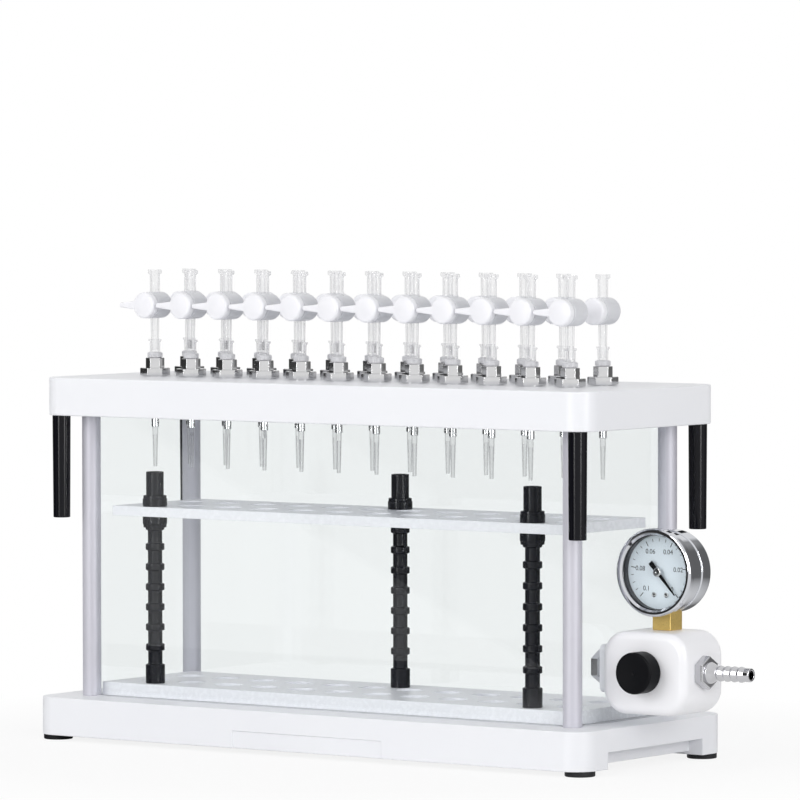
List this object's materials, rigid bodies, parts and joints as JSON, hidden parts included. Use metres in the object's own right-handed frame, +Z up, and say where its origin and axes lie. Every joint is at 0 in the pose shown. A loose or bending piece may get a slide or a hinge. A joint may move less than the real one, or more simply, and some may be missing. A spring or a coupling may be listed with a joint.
{
  "type": "vacuum manifold",
  "caption": "Bench-top vacuum manifold for solid-phase extraction: glass tank with tube rack, lift-off lid with two rows of stopcocks, vacuum gauge, bleed knob and hose barb.",
  "frame": {"origin": "on the bench, under the centre of the base plate", "axes": "+X to the right along the front, towards the gauge and hose; +Y to the back; +Z up"},
  "size_m": [0.481, 0.153, 0.2872],
  "materials": {
    "white_plastic": "moulded polyethylene, satin",
    "aluminium": "satin anodised",
    "glass": "clear polished",
    "silicone": "soft translucent white",
    "black_rubber": "matt black",
    "black_plastic": "glossy black",
    "chrome": "bright plated",
    "clear_plastic": "clear polypropylene",
    "valve_plastic": "white moulded, semi-gloss",
    "brass": "machined",
    "dial_print": "pale printed dial",
    "window_glass": "flat clear window"
  },
  "bodies": {
    "base": {"base_plate": "white_plastic", "rubber_feet": "black_rubber", "corner_posts": "aluminium", "tank_seal": "silicone", "glass_front": "glass", "glass_back": "glass", "glass_left": "glass", "glass_right": "glass", "rack_base": "white_plastic", "rack_pole_left": "black_plastic", "rack_pole_right": "black_plastic", "rack_pole_rear": "black_plastic", "vacuum_port": "white_plastic", "port_nut": "chrome", "vacuum_block": "white_plastic", "hose_barb": "chrome", "gauge_stem": "brass", "gauge_case": "chrome", "gauge_bezel": "chrome", "gauge_window": "window_glass", "gauge_dial": "dial_print"},
    "lid": {"lid_plate": "white_plastic", "lid_seal": "silicone", "lid_legs": "black_plastic", "port_fittings": "chrome", "guide_needles": "clear_plastic", "stopcock_bodies": "clear_plastic"},
    "shelf": {"rack_shelf": "white_plastic", "shelf_clips": "black_plastic"},
    "regulator": {"regulator_knob": "black_plastic"},
    "gauge_needle": {"gauge_pointer": "black_plastic"},
    "valve_front_01": {"handle_front_01": "valve_plastic"},
    "valve_front_02": {"handle_front_02": "valve_plastic"},
    "valve_front_03": {"handle_front_03": "valve_plastic"},
    "valve_front_04": {"handle_front_04": "valve_plastic"},
    "valve_front_05": {"handle_front_05": "valve_plastic"},
    "valve_front_06": {"handle_front_06": "valve_plastic"},
    "valve_front_07": {"handle_front_07": "valve_plastic"},
    "valve_front_08": {"handle_front_08": "valve_plastic"},
    "valve_front_09": {"handle_front_09": "valve_plastic"},
    "valve_front_10": {"handle_front_10": "valve_plastic"},
    "valve_front_11": {"handle_front_11": "valve_plastic"},
    "valve_front_12": {"handle_front_12": "valve_plastic"},
    "valve_rear_01": {"handle_rear_01": "valve_plastic"},
    "valve_rear_02": {"handle_rear_02": "valve_plastic"},
    "valve_rear_03": {"handle_rear_03": "valve_plastic"},
    "valve_rear_04": {"handle_rear_04": "valve_plastic"},
    "valve_rear_05": {"handle_rear_05": "valve_plastic"},
    "valve_rear_06": {"handle_rear_06": "valve_plastic"},
    "valve_rear_07": {"handle_rear_07": "valve_plastic"},
    "valve_rear_08": {"handle_rear_08": "valve_plastic"},
    "valve_rear_09": {"handle_rear_09": "valve_plastic"},
    "valve_rear_10": {"handle_rear_10": "valve_plastic"},
    "valve_rear_11": {"handle_rear_11": "valve_plastic"},
    "valve_rear_12": {"handle_rear_12": "valve_plastic"}
  },
  "joints": [
    {"name": "lid_lift", "type": "slide", "parent": "base", "child": "lid", "axis": [0, 0, 1], "range_m": [0, 0.15]},
    {"name": "shelf_height", "type": "slide", "parent": "base", "child": "shelf", "axis": [0, 0, 1], "range_m": [-0.0738, 0]},
    {"name": "regulator_turn", "type": "hinge", "parent": "base", "child": "regulator", "pos_m": [0.216, -0.033, 0.059], "axis": [0, -1, 0], "range_deg": [0, 720]},
    {"name": "pointer_sweep", "type": "hinge", "parent": "base", "child": "gauge_needle", "pos_m": [0.216, -0.0188, 0.116], "axis": [0, -1, 0], "range_deg": [0, 270]},
    {"name": "turn_front_01", "type": "hinge", "parent": "lid", "child": "valve_front_01", "pos_m": [-0.154, -0.0172, 0.2655], "axis": [0, 1, 0], "range_deg": [0, 90]},
    {"name": "turn_front_02", "type": "hinge", "parent": "lid", "child": "valve_front_02", "pos_m": [-0.126, -0.0172, 0.2655], "axis": [0, 1, 0], "range_deg": [0, 90]},
    {"name": "turn_front_03", "type": "hinge", "parent": "lid", "child": "valve_front_03", "pos_m": [-0.098, -0.0172, 0.2655], "axis": [0, 1, 0], "range_deg": [0, 90]},
    {"name": "turn_front_04", "type": "hinge", "parent": "lid", "child": "valve_front_04", "pos_m": [-0.07, -0.0172, 0.2655], "axis": [0, 1, 0], "range_deg": [0, 90]},
    {"name": "turn_front_05", "type": "hinge", "parent": "lid", "child": "valve_front_05", "pos_m": [-0.042, -0.0172, 0.2655], "axis": [0, 1, 0], "range_deg": [0, 90]},
    {"name": "turn_front_06", "type": "hinge", "parent": "lid", "child": "valve_front_06", "pos_m": [-0.014, -0.0172, 0.2655], "axis": [0, 1, 0], "range_deg": [0, 90]},
    {"name": "turn_front_07", "type": "hinge", "parent": "lid", "child": "valve_front_07", "pos_m": [0.014, -0.0172, 0.2655], "axis": [0, 1, 0], "range_deg": [0, 90]},
    {"name": "turn_front_08", "type": "hinge", "parent": "lid", "child": "valve_front_08", "pos_m": [0.042, -0.0172, 0.2655], "axis": [0, 1, 0], "range_deg": [0, 90]},
    {"name": "turn_front_09", "type": "hinge", "parent": "lid", "child": "valve_front_09", "pos_m": [0.07, -0.0172, 0.2655], "axis": [0, 1, 0], "range_deg": [0, 90]},
    {"name": "turn_front_10", "type": "hinge", "parent": "lid", "child": "valve_front_10", "pos_m": [0.098, -0.0172, 0.2655], "axis": [0, 1, 0], "range_deg": [0, 90]},
    {"name": "turn_front_11", "type": "hinge", "parent": "lid", "child": "valve_front_11", "pos_m": [0.126, -0.0172, 0.2655], "axis": [0, 1, 0], "range_deg": [0, 90]},
    {"name": "turn_front_12", "type": "hinge", "parent": "lid", "child": "valve_front_12", "pos_m": [0.154, -0.0172, 0.2655], "axis": [0, 1, 0], "range_deg": [0, 90]},
    {"name": "turn_rear_01", "type": "hinge", "parent": "lid", "child": "valve_rear_01", "pos_m": [-0.154, 0.0172, 0.2655], "axis": [0, 1, 0], "range_deg": [0, 90]},
    {"name": "turn_rear_02", "type": "hinge", "parent": "lid", "child": "valve_rear_02", "pos_m": [-0.126, 0.0172, 0.2655], "axis": [0, 1, 0], "range_deg": [0, 90]},
    {"name": "turn_rear_03", "type": "hinge", "parent": "lid", "child": "valve_rear_03", "pos_m": [-0.098, 0.0172, 0.2655], "axis": [0, 1, 0], "range_deg": [0, 90]},
    {"name": "turn_rear_04", "type": "hinge", "parent": "lid", "child": "valve_rear_04", "pos_m": [-0.07, 0.0172, 0.2655], "axis": [0, 1, 0], "range_deg": [0, 90]},
    {"name": "turn_rear_05", "type": "hinge", "parent": "lid", "child": "valve_rear_05", "pos_m": [-0.042, 0.0172, 0.2655], "axis": [0, 1, 0], "range_deg": [0, 90]},
    {"name": "turn_rear_06", "type": "hinge", "parent": "lid", "child": "valve_rear_06", "pos_m": [-0.014, 0.0172, 0.2655], "axis": [0, 1, 0], "range_deg": [0, 90]},
    {"name": "turn_rear_07", "type": "hinge", "parent": "lid", "child": "valve_rear_07", "pos_m": [0.014, 0.0172, 0.2655], "axis": [0, 1, 0], "range_deg": [0, 90]},
    {"name": "turn_rear_08", "type": "hinge", "parent": "lid", "child": "valve_rear_08", "pos_m": [0.042, 0.0172, 0.2655], "axis": [0, 1, 0], "range_deg": [0, 90]},
    {"name": "turn_rear_09", "type": "hinge", "parent": "lid", "child": "valve_rear_09", "pos_m": [0.07, 0.0172, 0.2655], "axis": [0, 1, 0], "range_deg": [0, 90]},
    {"name": "turn_rear_10", "type": "hinge", "parent": "lid", "child": "valve_rear_10", "pos_m": [0.098, 0.0172, 0.2655], "axis": [0, 1, 0], "range_deg": [0, 90]},
    {"name": "turn_rear_11", "type": "hinge", "parent": "lid", "child": "valve_rear_11", "pos_m": [0.126, 0.0172, 0.2655], "axis": [0, 1, 0], "range_deg": [0, 90]},
    {"name": "turn_rear_12", "type": "hinge", "parent": "lid", "child": "valve_rear_12", "pos_m": [0.154, 0.0172, 0.2655], "axis": [0, 1, 0], "range_deg": [0, 90]}
  ]
}
